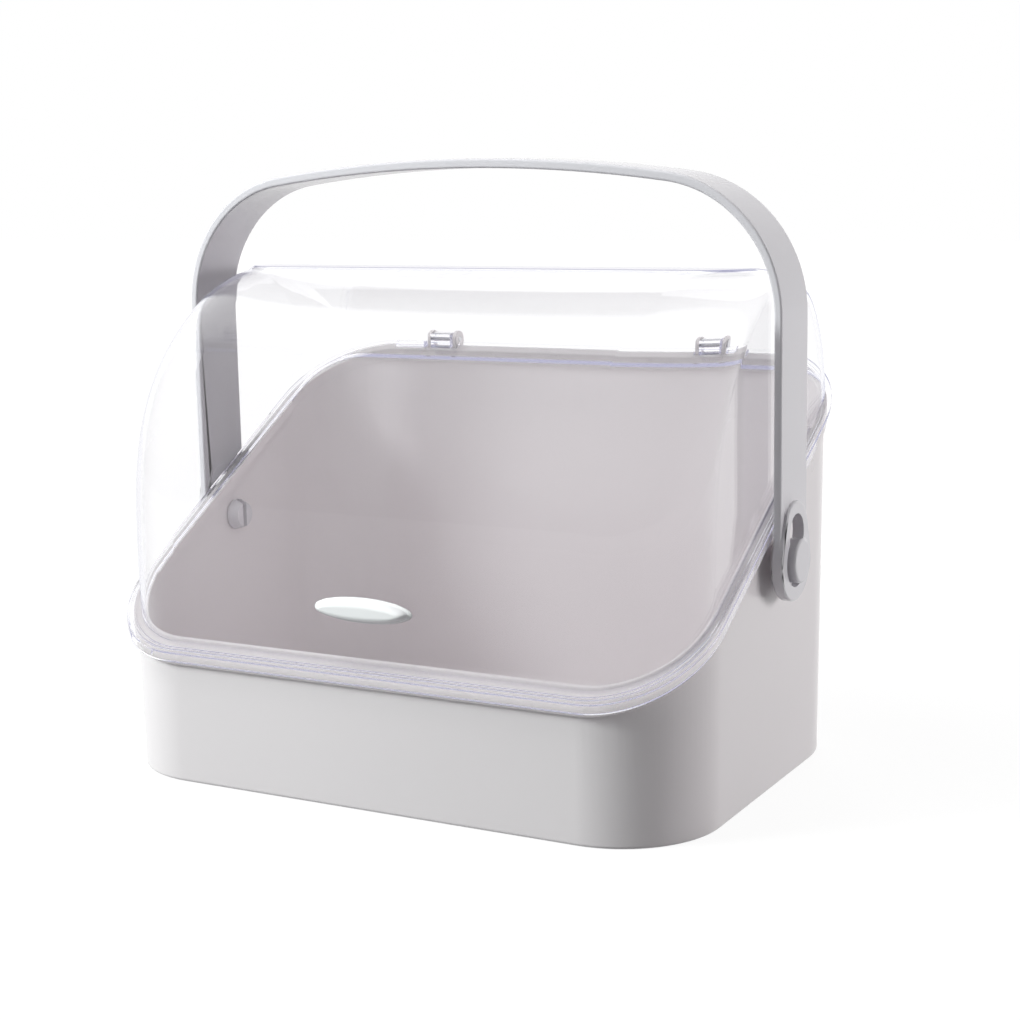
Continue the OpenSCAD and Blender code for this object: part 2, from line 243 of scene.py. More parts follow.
def middle(edge_or_face):
    """Middle of an edge or a face."""
    points = [v.co for v in edge_or_face.verts]
    return sum(points, Vector()) / len(points)


def is_upright(edge):
    """True if an edge runs up along Z."""
    a, b = (v.co for v in edge.verts)
    return abs(a.z - b.z) > UPWARD * (a - b).length


def apply_place(obj):
    """Move an object's place, turn and scale into its mesh."""
    show_only(obj)
    bpy.ops.object.transform_apply(location=True, rotation=True, scale=True)
    return obj


def rename(obj, name):
    """Name an object and its mesh."""
    obj.name = obj.data.name = name
    return obj


def block(name, low, high):
    """A box between two corners, to be shaped further."""
    low, high = Vector(low), Vector(high)
    bpy.ops.object.select_all(action="DESELECT")
    bpy.ops.mesh.primitive_cube_add(size=1, location=(low + high) / 2)
    obj = bpy.context.object
    obj.scale = high - low
    return rename(apply_place(obj), name)


def rod(name, start, direction, radius, length, sides=64):
    """A cylinder from a start point along an axis direction, to be shaped further."""
    direction = Vector(direction).normalized()
    bpy.ops.object.select_all(action="DESELECT")
    bpy.ops.mesh.primitive_cylinder_add(
        vertices=sides, radius=radius, depth=length, location=Vector(start) + direction * length / 2
    )
    obj = bpy.context.object
    obj.rotation_mode = "QUATERNION"
    obj.rotation_quaternion = direction.to_track_quat("Z", "Y")
    return rename(apply_place(obj), name)


def turned(name, place, way, profile, sides=64):
    """A round piece that points one way, grown ring by ring from distances along it and radii."""
    bpy.ops.object.select_all(action="DESELECT")
    bpy.ops.mesh.primitive_circle_add(vertices=sides, radius=profile[0][1], fill_type="NGON")
    obj = bpy.context.object
    grow_rings(obj, [(distance, radius, radius) for distance, radius in profile])
    obj.rotation_mode = "QUATERNION"
    obj.rotation_quaternion = Vector(way).to_track_quat("Z", "Y")
    obj.location = Vector(place) + Vector(way) * profile[0][0]
    rename(apply_place(obj), name)
    turn_outwards(obj)
    return obj


def grow_rings(obj, rings):
    """Extrude a flat disc upwards through rings, each a height and a half width and half depth."""
    bpy.ops.object.mode_set(mode="EDIT")
    bpy.ops.mesh.select_mode(type="FACE")
    bpy.ops.mesh.select_all(action="SELECT")
    for (low, wide, deep), (high, next_wide, next_deep) in zip(rings, rings[1:]):
        bpy.ops.mesh.extrude_region_move(TRANSFORM_OT_translate={"value": (0, 0, high - low)})
        bpy.ops.transform.resize(
            value=(next_wide / wide, next_deep / deep, 1), center_override=(0, 0, 0)
        )
    end_edit()


def rounded(distance, radius, edge, steps=6):
    """Profile entries that round the outer edge of a disc that ends at a distance."""
    angles = [math.radians(90 * k / steps) for k in range(steps + 1)]
    return [
        (distance - edge * (1 - math.sin(a)), radius - edge * (1 - math.cos(a))) for a in angles
    ]


def bevel_edges(obj, width, segments, test):
    """Round the edges of an object that pass a test."""
    begin_edit(obj, "EDGE")
    pick("edges", test)
    bpy.ops.mesh.bevel(offset=width, segments=segments, affect="EDGES")
    end_edit()


def bevel_sharp(obj, width, segments=3, degrees=50, near=None):
    """Round the edges of an object that are sharper than an angle."""
    limit = math.radians(degrees)
    bevel_edges(
        obj,
        width,
        segments,
        lambda e: len(e.link_faces) == 2
        and e.calc_face_angle(0) > limit
        and (near is None or near(middle(e))),
    )


def modify(obj, kind, **settings):
    """Add a modifier with its settings and apply it."""
    show_only(obj)
    modifier = obj.modifiers.new(kind.title(), kind)
    for key, value in settings.items():
        setattr(modifier, key, value)
    bpy.ops.object.modifier_apply(modifier=modifier.name)
    return obj


def combine(obj, *others, how="UNION"):
    """Weld other solids to an object, or cut them out of it, and drop them."""
    for other in others:
        modify(obj, "BOOLEAN", object=other, operation=how, solver="MANIFOLD")
        bpy.data.objects.remove(other)
    return obj


def join(obj, *others):
    """Make several objects one."""
    show_only(*others, obj)
    bpy.ops.object.join()
    return obj


def slice_solid(obj, point, normal):
    """Cut a solid by a plane, drop the side that the normal points to, and close the cut."""
    begin_edit(obj)
    bpy.ops.mesh.select_all(action="SELECT")
    bpy.ops.mesh.bisect(plane_co=point, plane_no=normal, clear_outer=True, use_fill=True)
    end_edit()


def cut_ring(obj, point, normal):
    """Cut a hollow wall by a plane, and close the wall's thickness where it was cut."""
    begin_edit(obj)
    bpy.ops.mesh.select_all(action="SELECT")
    bpy.ops.mesh.bisect(plane_co=point, plane_no=normal, clear_outer=True)
    bpy.ops.mesh.select_all(action="DESELECT")
    bpy.ops.mesh.select_mode(type="EDGE")
    normal = Vector(normal).normalized()

    def on_cut(edge):
        return abs((middle(edge) - Vector(point)).dot(normal)) < 10 * CLOSE

    pick("edges", lambda e: e.is_boundary and on_cut(e))
    bpy.ops.mesh.bridge_edge_loops()
    end_edit()


FLAT = math.radians(0.2)  # faces this little apart count as one flat face


def smooth(obj, degrees=35):
    """Merge the slivers that welding leaves on flat faces, and shade what is round."""
    begin_edit(obj)
    bpy.ops.mesh.select_all(action="SELECT")
    bpy.ops.mesh.dissolve_limited(angle_limit=FLAT)
    end_edit()
    show_only(obj)
    bpy.ops.object.shade_smooth_by_angle(angle=math.radians(degrees))
    modify(obj, "WEIGHTED_NORMAL", keep_sharp=True, weight=50)
    return obj


def turn_outwards(obj):
    """Merge points that lie together, and turn all faces outwards."""
    begin_edit(obj)
    bpy.ops.mesh.select_all(action="SELECT")
    bpy.ops.mesh.remove_doubles(threshold=CLOSE)
    bpy.ops.mesh.normals_make_consistent(inside=False)
    end_edit()


# ---------------------------------------------------------------- shapes that several pieces share

CORNER_STEPS = 24
TALL = 250  # height of a wall before the rim plane cuts it
FAR = 1000  # reach of a cutting block
PAST = 50  # how far a cut runs past what it cuts
HAIR = 0.15  # set-off that keeps the faces of two solids apart before they are welded


def wall_block(name, out, low, high, front_more=0.0, corner=None):
    """A leaning block with round upright corners, out from the tub's wall by a distance."""
    half_w, half_d = HALF_W + out, HALF_D + out
    obj = block(name, (-half_w, -half_d - front_more, low), (half_w, half_d, high))
    bevel_edges(obj, corner or CORNER_R + out, CORNER_STEPS, is_upright)
    for z in (low, high):
        begin_edit(obj, "VERT")
        pick("verts", lambda v: abs(v.co.z - z) < CLOSE)
        bpy.ops.transform.resize(
            value=(1 + LEAN * z / half_w, 1 + LEAN * z / half_d, 1), center_override=(0, 0, z)
        )
        end_edit()
    return obj


def drop_caps(obj):
    """Delete the flat faces at the top and the bottom."""
    begin_edit(obj)
    pick("faces", lambda f: abs(f.normal.z) > UPWARD)
    bpy.ops.mesh.delete(type="FACE")
    end_edit()


def rim_point(offset):
    """A point of the plane that lies an offset above the rim plane, square to it."""
    return Vector((0, -HALF_D, RIM_FRONT_Z)) + RIM_NORMAL * offset


def rim_slab(obj, low, high):
    """Keep what lies between two heights above the rim plane, measured square to it."""
    slice_solid(obj, rim_point(high), RIM_NORMAL)
    slice_solid(obj, rim_point(low), -RIM_NORMAL)
    return obj


def rim_band(name, inside, outside, low, high, round_edge=0.4, front_more=0.0, corner=None):
    """A ring that follows the rim, between two distances from the wall and two heights."""
    inner = wall_block(name + "_inner", inside, 0, TALL, front_more, corner)
    outer = wall_block(name, outside, 0, TALL, front_more, corner)
    drop_caps(inner)
    drop_caps(outer)
    begin_edit(inner)
    bpy.ops.mesh.select_all(action="SELECT")
    bpy.ops.mesh.flip_normals()
    end_edit()
    join(outer, inner)
    cut_ring(outer, rim_point(high), RIM_NORMAL)
    cut_ring(outer, rim_point(low), -RIM_NORMAL)
    turn_outwards(outer)
    bevel_sharp(outer, round_edge)
    return outer


LID_LEVELS = 40
DOME_STEPS = 20  # parts of each round corner of the lid
LEAST_FLAT = 0.5  # length that is always left straight between two corners


def mix(a, b, share):
    """The value that lies a share of the way from a to b."""
    return a + (b - a) * share


def round_in(z, radius):
    """How far a quarter circle that ends at the lid's top has come in at the height z."""
    up = max(0.0, z - (LID_TOP - radius))
    return radius - math.sqrt(max(0.0, radius**2 - up**2))


def lid_level(z, inset):
    """Half width, front, back and corner radii of the lid's outline at the height z."""
    share = min(1.0, max(0.0, (z - ARCH_Z) / (LID_TOP - ARCH_Z)))
    foot = -HALF_D - LEAN * z + LID_INSET
    front = CREST_Y + (foot - CREST_Y) * (1 - share ** FRONT_BOW[0]) ** FRONT_BOW[1]
    back = HALF_D + LEAN * min(z, LID_TOP - BACK_ARCH_R) - LID_INSET - round_in(z, BACK_ARCH_R)
    half_w = HALF_W + LEAN * min(z, ARCH_Z) - LID_INSET - round_in(z, SIDE_EDGE_R)
    front_r = mix(CORNER_R - LID_INSET, TOP_FRONT_R, share**FRONT_CORNER_BEND)
    back_r = mix(CORNER_R - LID_INSET, TOP_BACK_R, share**BACK_CORNER_BEND)
    fit = min(1.0, (back - front - LEAST_FLAT) / (front_r + back_r))
    return (
        half_w - inset,
        front + inset,
        back - inset,
        front_r * fit - inset,
        back_r * fit - inset,
        z - inset * share,
    )


def outline_point(z, corner, share, inset):
    """A point of the lid's outline, a share of the way round one corner. Corner 0 is the front
    right one, and they go round by the back."""
    half_w, front, back, front_r, back_r, height = lid_level(z, inset)
    angle = math.radians(90 * (corner - 1 + share))
    radius = front_r if corner in (0, 3) else back_r
    x = (half_w - radius) * (1 if corner < 2 else -1)
    y = front + radius if corner in (0, 3) else back - radius
    return Vector((x + radius * math.cos(angle), y + radius * math.sin(angle), height))


def dome(name, inset):
    """The lid's form, solid, set in by a distance: a sheet wrapped round its outlines, closed."""
    places = [(corner, k / DOME_STEPS) for corner in range(4) for k in range(DOME_STEPS + 1)]
    rise = [math.sin(math.pi / 2 * k / LID_LEVELS) for k in range(LID_LEVELS + 1)]
    levels = [RIM_FRONT_Z - DOME_FOOT] + [mix(ARCH_Z, LID_TOP, share) for share in rise]
    columns, rows = len(places), len(levels) - 1
    bpy.ops.object.select_all(action="DESELECT")
    bpy.ops.mesh.primitive_grid_add(x_subdivisions=columns, y_subdivisions=rows, size=1)
    obj = rename(bpy.context.object, name)
    for vertex in obj.data.vertices:
        column = round((vertex.co.x + 0.5) * columns) % columns
        row = round((vertex.co.y + 0.5) * rows)
        vertex.co = outline_point(levels[row], *places[column], inset)
    begin_edit(obj, "EDGE")
    bpy.ops.mesh.select_all(action="SELECT")
    bpy.ops.mesh.remove_doubles(threshold=CLOSE)
    bpy.ops.mesh.select_all(action="DESELECT")
    pick("edges", lambda e: e.is_boundary)
    bpy.ops.mesh.edge_face_add()
    bpy.ops.mesh.select_all(action="SELECT")
    bpy.ops.mesh.normals_make_consistent(inside=False)
    end_edit()
    return obj


# ---------------------------------------------------------------- tub


def tub_shell():
    """Outer and inner walls, open at the top, bridged just below the rim."""
    outer = wall_block("slanted_tub", 0, 0, TALL)
    begin_edit(outer)
    pick("faces", lambda f: f.normal.z > UPWARD)
    bpy.ops.mesh.delete(type="FACE")
    end_edit()
    bevel_edges(outer, FOOT_EDGE, 4, lambda e: all(v.co.z < CLOSE for v in e.verts))

    inner = wall_block("tub_inside", -TUB_WALL, FLOOR_T, TALL)
    begin_edit(inner)
    pick("faces", lambda f: f.normal.z > UPWARD)
    bpy.ops.mesh.delete(type="FACE")
    end_edit()
    bevel_edges(inner, FLOOR_FILLET, 8, lambda e: all(v.co.z < FLOOR_T + CLOSE for v in e.verts))
    begin_edit(inner)
    bpy.ops.mesh.select_all(action="SELECT")
    bpy.ops.mesh.flip_normals()
    end_edit()

    join(outer, inner)
    cut_ring(outer, rim_point(-WALL_CUT), RIM_NORMAL)
    turn_outwards(outer)
    return outer


FOOT_IN = 0.6  # how far an ear's foot reaches into the tub's wall, and out of it
FOOT_OUT = 0.2


def hinge_ear(x):
    """One ear: an eye round the hinge pin that runs down into a foot on the tub's back."""
    root_z = HINGE.z - EAR_ROOT
    wall_y = HALF_D + LEAN * root_z
    eye = rod("ear", (x - EAR_T / 2, HINGE.y, HINGE.z), (1, 0, 0), EAR_R, EAR_T, 48)
    foot = block(
        "ear_foot",
        (x - EAR_T / 2, wall_y - FOOT_IN, root_z),
        (x + EAR_T / 2, wall_y + FOOT_OUT, rim_z(HALF_D) - LIP_H),
    )
    join(eye, foot)
    begin_edit(eye)
    bpy.ops.mesh.select_all(action="SELECT")
    bpy.ops.mesh.convex_hull()
    end_edit()
    bevel_sharp(eye, EAR_EDGE, 2)
    return eye


def seal_rib():
    """A rib that stands up inside the lid along the front and the sides, on its own ledge."""
    inset = LID_WALL + MOVE_GAP
    rib = rim_slab(dome("rib", inset), HAIR - LEDGE_H, RIB_H)
    ledge = rim_slab(wall_block("ledge", -TUB_WALL / 2, 0, TALL), -LEDGE_H, -HAIR)
    combine(rib, ledge)
    combine(rib, dome("inside", inset + RIB_T), how="DIFFERENCE")
    behind = block("behind", (-FAR, HALF_D - CORNER_R, -FAR), (FAR, FAR, FAR))
    combine(rib, behind, how="DIFFERENCE")
    bevel_sharp(rib, RIB_EDGE, 2, near=lambda p: p.z > rim_z(p.y) + RIB_FREE)
    return rib


BORE_IN = 8  # the cut for a pivot pin starts this far inside the wall's outside and is this long
BORE_LEN = 14


def make_tub():
    """The tub with its lip, rib, pivot hubs and hinge ears welded on, and its holes cut."""
    tub = tub_shell()
    lip = rim_band("lip", -TUB_WALL - HAIR, LIP_OUT, -LIP_H, 0, LIP_EDGE)
    combine(tub, lip, seal_rib())
    for side in (-1, 1):
        hub_start = WALL_X - TUB_WALL / 2
        hub = rod(
            "hub", (side * hub_start, *PIVOT.yz), (side, 0, 0), HUB_R, LEG_IN - MOVE_GAP - hub_start
        )
        bevel_sharp(hub, HUB_EDGE, 3)
        combine(tub, hub, *[hinge_ear(side * HINGE_X + ear * EAR_GAP / 2) for ear in (-1, 1)])
        bore = rod("bore", (side * (WALL_X - BORE_IN), *PIVOT.yz), (side, 0, 0), PIN_R, BORE_LEN)
        eye = rod(
            "eye", (side * HINGE_X - EAR_GAP, *HINGE.yz), (1, 0, 0), HINGE_PIN_R, 2 * EAR_GAP, 40
        )
        combine(tub, bore, eye, how="DIFFERENCE")
    return smooth(tub)


# ---------------------------------------------------------------- lid

WEB_RISE = 0.7  # how far above the rim plane a knuckle's web starts on the lid's back
WEB_DROP = 0.8  # how far below the knuckle's top it ends
WEB_T = 1


def knuckle(side):
    """The eye that joins the lid's back to a hinge pin, between the two ears."""
    length = EAR_GAP - EAR_T - 2 * EAR_CLEAR - 2 * HAIR
    start = side * HINGE_X - length / 2
    wall_y = HALF_D + LEAN * HINGE.z - LID_INSET - LID_WALL / 2
    eye = rod("knuckle", (start, HINGE.y, HINGE.z), (1, 0, 0), KNUCKLE_R, length, 48)
    web = block(
        "web",
        (start, wall_y, rim_z(wall_y) + WEB_RISE),
        (start + length, wall_y + WEB_T, HINGE.z + KNUCKLE_R - WEB_DROP),
    )
    join(eye, web)
    begin_edit(eye)
    bpy.ops.mesh.select_all(action="SELECT")
    bpy.ops.mesh.convex_hull()
    end_edit()
    bevel_sharp(eye, KNUCKLE_EDGE, 2)
    slice_solid(eye, rim_point(SEAT_GAP + KNUCKLE_LIFT), -RIM_NORMAL)
    return eye


def stop_lug(side, length):
    """A small block on the lid's back beside a hinge."""
    wall_y = HALF_D + LEAN * HINGE.z - LID_INSET - LID_WALL / 2
    lug_y = HALF_D + LEAN * HINGE.z + LUG_OUT
    start = side * (HINGE_X + EAR_GAP / 2 + EAR_T / 2 + EAR_CLEAR + PIN_HEAD_T + HAIR)
    ends = sorted((start, start + side * length))
    lug = block("lug", (ends[0], wall_y, HINGE.z - LUG_LOW), (ends[1], lug_y, HINGE.z - LUG_HIGH))
    bevel_sharp(lug, LUG_EDGE, 3)
    slice_solid(lug, rim_point(SEAT_GAP + KNUCKLE_LIFT), -RIM_NORMAL)
    return lug


def ear_notch(hinge_x, start, end):
    """Room in the flange for an ear, between two distances from the middle of its hinge."""
    low, high = sorted((hinge_x + start, hinge_x + end))
    return block("notch", (low, HINGE.y - EAR_R - EAR_CLEAR, 0), (high, HINGE.y + PAST, TALL))


def lid_flange():
    """The ring that rests on the rim, with two grooves, and its skirt along front and sides."""
    flange = wall_block("flange", FLANGE_OUT, 0, TALL, FLANGE_FRONT, CORNER_R)
    rim_slab(flange, SEAT_GAP, FLANGE_T)
    bevel_sharp(flange, FLANGE_EDGE)
    combine(flange, dome("inside", LID_WALL / 2), how="DIFFERENCE")
    skirt = rim_band(
        "skirt",
        FLANGE_OUT - SKIRT_T,
        FLANGE_OUT,
        -SKIRT_H,
        FLANGE_T / 2,
        SKIRT_EDGE,
        FLANGE_FRONT,
        CORNER_R,
    )
    behind = block("behind", (-FAR, HALF_D - CORNER_R - SKIRT_END, -FAR), (FAR, FAR, FAR))
    combine(skirt, behind, how="DIFFERENCE")
    combine(flange, skirt)
    for set_in in GROOVES:
        groove = rim_band(
            "groove",
            FLANGE_OUT - set_in - GROOVE_W,
            FLANGE_OUT - set_in,
            FLANGE_T - GROOVE_DEEP,
            FLANGE_T + GROOVE_PAST,
            GROOVE_EDGE,
            FLANGE_FRONT,
            CORNER_R,
        )
        combine(flange, groove, how="DIFFERENCE")
    tongue = (EAR_GAP - EAR_T) / 2 - EAR_CLEAR
    ear_end = (EAR_GAP + EAR_T) / 2 + EAR_CLEAR
    for side in (-1, 1):
        inner = ear_notch(side * HINGE_X, -side * tongue, -side * ear_end)
        outer = ear_notch(side * HINGE_X, side * tongue, side * (ear_end + PIN_HEAD_T))
        combine(flange, inner, outer, how="DIFFERENCE")
    return flange


PEG_REACH = 20  # from the tub's front out to where the cut for a peg starts


def make_lid():
    """The clear shell with its flange, knuckles and lugs welded on, and its holes cut."""
    lid = dome("clear_lid", 0)
    modify(lid, "SOLIDIFY", thickness=LID_WALL, offset=-1, use_even_offset=True, use_rim=False)
    cut_ring(lid, rim_point(SEAT_GAP + HAIR), -RIM_NORMAL)
    turn_outwards(lid)
    combine(lid, lid_flange())
    for side, lug_length in LUGS:
        combine(lid, knuckle(side), stop_lug(side, lug_length))
        eye = rod(
            "eye",
            (side * HINGE_X - EAR_GAP / 2, *HINGE.yz),
            (1, 0, 0),
            HINGE_PIN_R + RUN_CLEAR,
            EAR_GAP,
            40,
        )
        peg_at = (side * PEG_GAP / 2, -HALF_D - PEG_REACH, PULL_Z)
        hole = rod("peg_hole", peg_at, (0, 1, 0), PEG_R + PEG_FIT, 2 * PEG_REACH, 48)
        combine(lid, eye, hole, how="DIFFERENCE")
    return smooth(lid, 30)


# ---------------------------------------------------------------- finger pull


def make_pull():
    """A long domed knob on a thin oval plate, held by two pegs spread over inside the lid."""
    front_y = -HALF_D - LEAN * PULL_Z + LID_INSET
    seat_y = front_y - LEAN * PULL_H / 2
    rise = PULL_OUT - PLATE_T
    half_w, half_h = PULL_W / 2, PULL_H / 2
    rings = [
        (0, half_w - PLATE_EDGE, half_h - PLATE_EDGE),
        (PLATE_EDGE, half_w, half_h),
        (PLATE_T - PLATE_EDGE, half_w, half_h),
        (PLATE_T, half_w - PLATE_EDGE, half_h - PLATE_EDGE),
    ]
    for k in range(13):
        # an arc from the plate to the knob's top, which stays a flat oval
        a = math.radians(6 + 7 * k)
        wide = (PULL_W - KNOB_STEP[0] - KNOB_DRAW * (1 - math.cos(a))) / 2
        deep = (PULL_H - KNOB_STEP[1]) / 2 * math.cos(0.8 * a)
        rings.append((PLATE_T + rise * math.sin(a), wide, deep))
    bpy.ops.object.select_all(action="DESELECT")
    bpy.ops.mesh.primitive_circle_add(vertices=128, radius=1, fill_type="NGON")
    pull = bpy.context.object
    pull.scale = (rings[0][1], rings[0][2], 1)
    apply_place(pull)
    grow_rings(pull, rings)
    pull.location = (0, seat_y, PULL_Z)
    pull.rotation_euler = (math.pi / 2, 0, 0)
    rename(apply_place(pull), "finger_pull")
    turn_outwards(pull)
    sunk = 1  # how deep a peg starts in the plate
    inside = front_y + LID_WALL - seat_y + sunk + PEG_FIT
    for side in (-1, 1):
        profile = [(0, PEG_R), (inside, PEG_R), (inside, PEG_R + PEG_HEAD)]
        profile += rounded(inside + PEG_HEAD_T, PEG_R + PEG_SPREAD, PEG_HEAD)
        peg = turned("peg", (side * PEG_GAP / 2, seat_y - sunk, PULL_Z), (0, 1, 0), profile, 48)
        combine(pull, peg)
    return smooth(pull, 40)


# ---------------------------------------------------------------- handle


def half_strap():
    """The right leg, the right shoulder and half the crown, as one bent bar."""
    half_w = LEG_IN + LEG_T
    tilt = math.asin((half_w - SHOULDER_R) / (CROWN_R - SHOULDER_R))
    crown = Vector((0, PIVOT.y, CROWN_TOP - CROWN_R))
    shoulder = crown + Vector((math.sin(tilt), 0, math.cos(tilt))) * (CROWN_R - SHOULDER_R)
    strap = block(
        "carrying_handle",
        (LEG_IN, PIVOT.y - STRAP_W / 2, PIVOT.z),
        (half_w, PIVOT.y + STRAP_W / 2, shoulder.z),
    )
    bevel_edges(strap, LEG_EDGE, 4, is_upright)
    begin_edit(strap)
    pick("faces", lambda f: f.normal.z > UPWARD)
    bpy.ops.mesh.delete(type="ONLY_FACE")
    bpy.ops.mesh.select_mode(type="EDGE")
    pick("edges", lambda e: e.is_boundary)
    bpy.ops.mesh.spin(steps=28, angle=math.pi / 2 - tilt, center=shoulder, axis=(0, 1, 0))
    bpy.ops.mesh.spin(steps=14, angle=tilt, center=crown, axis=(0, 1, 0))
    end_edit()
    for vertex in strap.data.vertices:
        # the bar thickens round the shoulder, towards its inside
        arm = vertex.co - shoulder
        arm.y = 0
        turn = math.atan2(max(arm.z, 0), max(arm.x, 0.001)) / (math.pi / 2 - tilt)
        centre, radius = (shoulder, SHOULDER_R) if turn < 1 else (crown, CROWN_R)
        out = vertex.co - centre
        out.y = 0
        if arm.z > 0:
            depth = radius - out.length
            vertex.co -= out.normalized() * depth * (CROWN_T / LEG_T - 1) * min(1, turn)
    return strap


def egg_plate(side, x_in, x_out, low_r, high_r):
    """A plate round the pivot, wide at the pivot and narrower above it."""
    length = x_out - x_in
    low = rod("plate", (side * x_in, *PIVOT.yz), (side, 0, 0), low_r, length, 96)
    high = rod("upper", (side * x_in, PIVOT.y, PIVOT.z + LOBE_UP), (side, 0, 0), high_r, length, 96)
    join(low, high)
    begin_edit(low)
    bpy.ops.mesh.select_all(action="SELECT")
    bpy.ops.mesh.convex_hull()
    end_edit()
    return low


POCKET_CUT = 6  # length of the cuts for the pocket and the keyhole's lobe
LOBE_BACK = 1  # how far inside the leg the lobe's cut starts
BORE_CUT = 8  # length of the cuts for the pin and the hub
BORE_BACK = 2  # how far inside the leg they start


def make_handle():
    """The whole strap with a raised plate at each end, its pocket, keyhole and bore cut in."""
    handle = half_strap()
    modify(handle, "MIRROR", use_axis=(True, False, False), merge_threshold=0.01)
    turn_outwards(handle)
    lobe_at = (PIVOT.y, PIVOT.z + LOBE_UP)
    for side in (-1, 1):
        way = (side, 0, 0)
        boss = egg_plate(side, LEG_IN - HAIR, BOSS_FACE, BOSS_R, BOSS_R - BOSS_NARROW)
        bevel_sharp(boss, BOSS_EDGE, 4)
        pocket = rod("pocket", (side * POCKET_X, *PIVOT.yz), way, POCKET_R, POCKET_CUT, 96)
        lobe = rod("lobe", (side * POCKET_X, *lobe_at), way, LOBE_R, POCKET_CUT + HAIR, 96)
        combine(pocket, lobe)
        through_start = (side * (LEG_IN - LOBE_BACK), *lobe_at)
        through = rod("through", through_start, way, LOBE_R - HAIR, POCKET_CUT, 96)
        bore_start = (side * (LEG_IN - BORE_BACK), *PIVOT.yz)
        bearing = rod("bearing", bore_start, way, HUB_R, BORE_CUT, 96)
        combine(through, bearing, how="DIFFERENCE")
        bore = rod("bore", bore_start, way, PIN_R + RUN_CLEAR, BORE_CUT)
        combine(handle, boss)
        combine(handle, pocket, through, bore, how="DIFFERENCE")
    return smooth(handle)


# ---------------------------------------------------------------- pins


def pivot_pin(side):
    """A button-headed pin with a split, barbed end inside the tub."""
    name = "button_pin_left" if side < 0 else "button_pin_right"
    barb_x = WALL_X - TUB_WALL - MOVE_GAP
    barb_r = PIN_R + BARB_OUT
    end_x = barb_x - SNAP_LEN
    seat_x = POCKET_X + MOVE_GAP
    profile = [
        (end_x, PIN_R - LEAD_IN),
        (barb_x - BARB_SLOPE_END, barb_r - BARB_SHOULDER),
        (barb_x - BARB_WIDEST, barb_r),
        (barb_x - BARB_SHOULDER, barb_r),
        (barb_x, barb_r - BARB_SHOULDER),
        (barb_x, PIN_R),
        (seat_x, PIN_R),
        (seat_x, HEAD_R - HEAD_BACK_EDGE),
        (seat_x + HEAD_BACK_EDGE, HEAD_R),
        *rounded(BOSS_FACE + HEAD_OUT, HEAD_R, HEAD_EDGE),
    ]
    pin = turned(name, (0, *PIVOT.yz), (side, 0, 0), profile, 96)
    split_end = barb_x + TUB_WALL / 2 + MOVE_GAP
    low, high = sorted((side * (end_x - SPLIT_PAST), side * split_end))
    split = block(
        "split",
        (low, PIVOT.y - SPLIT_W / 2, PIVOT.z - 2 * PIN_R),
        (high, PIVOT.y + SPLIT_W / 2, PIVOT.z + 2 * PIN_R),
    )
    combine(pin, split, how="DIFFERENCE")
    return smooth(pin)


def hinge_pin(side):
    """A wire pin with a small flat head at its outer end."""
    name = "hinge_wire_left" if side < 0 else "hinge_wire_right"
    head_x = (EAR_GAP + EAR_T) / 2
    tip = head_x + PIN_TIP
    profile = [
        (-tip, HINGE_PIN_R - PIN_TIP_EDGE),
        (PIN_TIP_EDGE - tip, HINGE_PIN_R),
        (head_x, HINGE_PIN_R),
        (head_x, PIN_HEAD_R - PIN_HEAD_BACK_EDGE),
        (head_x + PIN_HEAD_BACK_EDGE, PIN_HEAD_R),
        *rounded(head_x + PIN_HEAD_T, PIN_HEAD_R, PIN_HEAD_EDGE, 3),
    ]
    return smooth(turned(name, (side * HINGE_X, *HINGE.yz), (side, 0, 0), profile, 40))


# ---------------------------------------------------------------- finishes


def linear(hex_colour):
    """An sRGB hex colour as linear values, with alpha."""
    values = [int(hex_colour[i : i + 2], 16) / 255 for i in (1, 3, 5)]
    return [v / 12.92 if v <= 0.04045 else ((v + 0.055) / 1.055) ** 2.4 for v in values] + [1.0]


def add_node(tree, kind, settings=None, links=None):
    """Add a node, set its fields and sockets, and link sockets that come from other nodes."""
    node = tree.nodes.new(kind)
    for key, value in (settings or {}).items():
        if isinstance(key, str) and hasattr(node, key) and key not in node.inputs:
            setattr(node, key, value)
        else:
            node.inputs[key].default_value = value
    for key, source in (links or {}).items():
        tree.links.new(source, node.inputs[key])
    return node


def new_material(name):
    """A material with an empty node tree, and that tree."""
    material = bpy.data.materials.new(name)
    material.use_nodes = True
    material.node_tree.nodes.clear()
    return material, material.node_tree


COLOUR_A, COLOUR_B, MIXED = 6, 7, 2  # sockets of a Mix node that mixes colours

FLOW = 110  # mm between the soft flow marks of a large moulding
PEEL = 2.4  # mm between the soft waves of its skin
PEEL_DEEP = 0.2  # mm, of which the bump's strength leaves the few microns that show


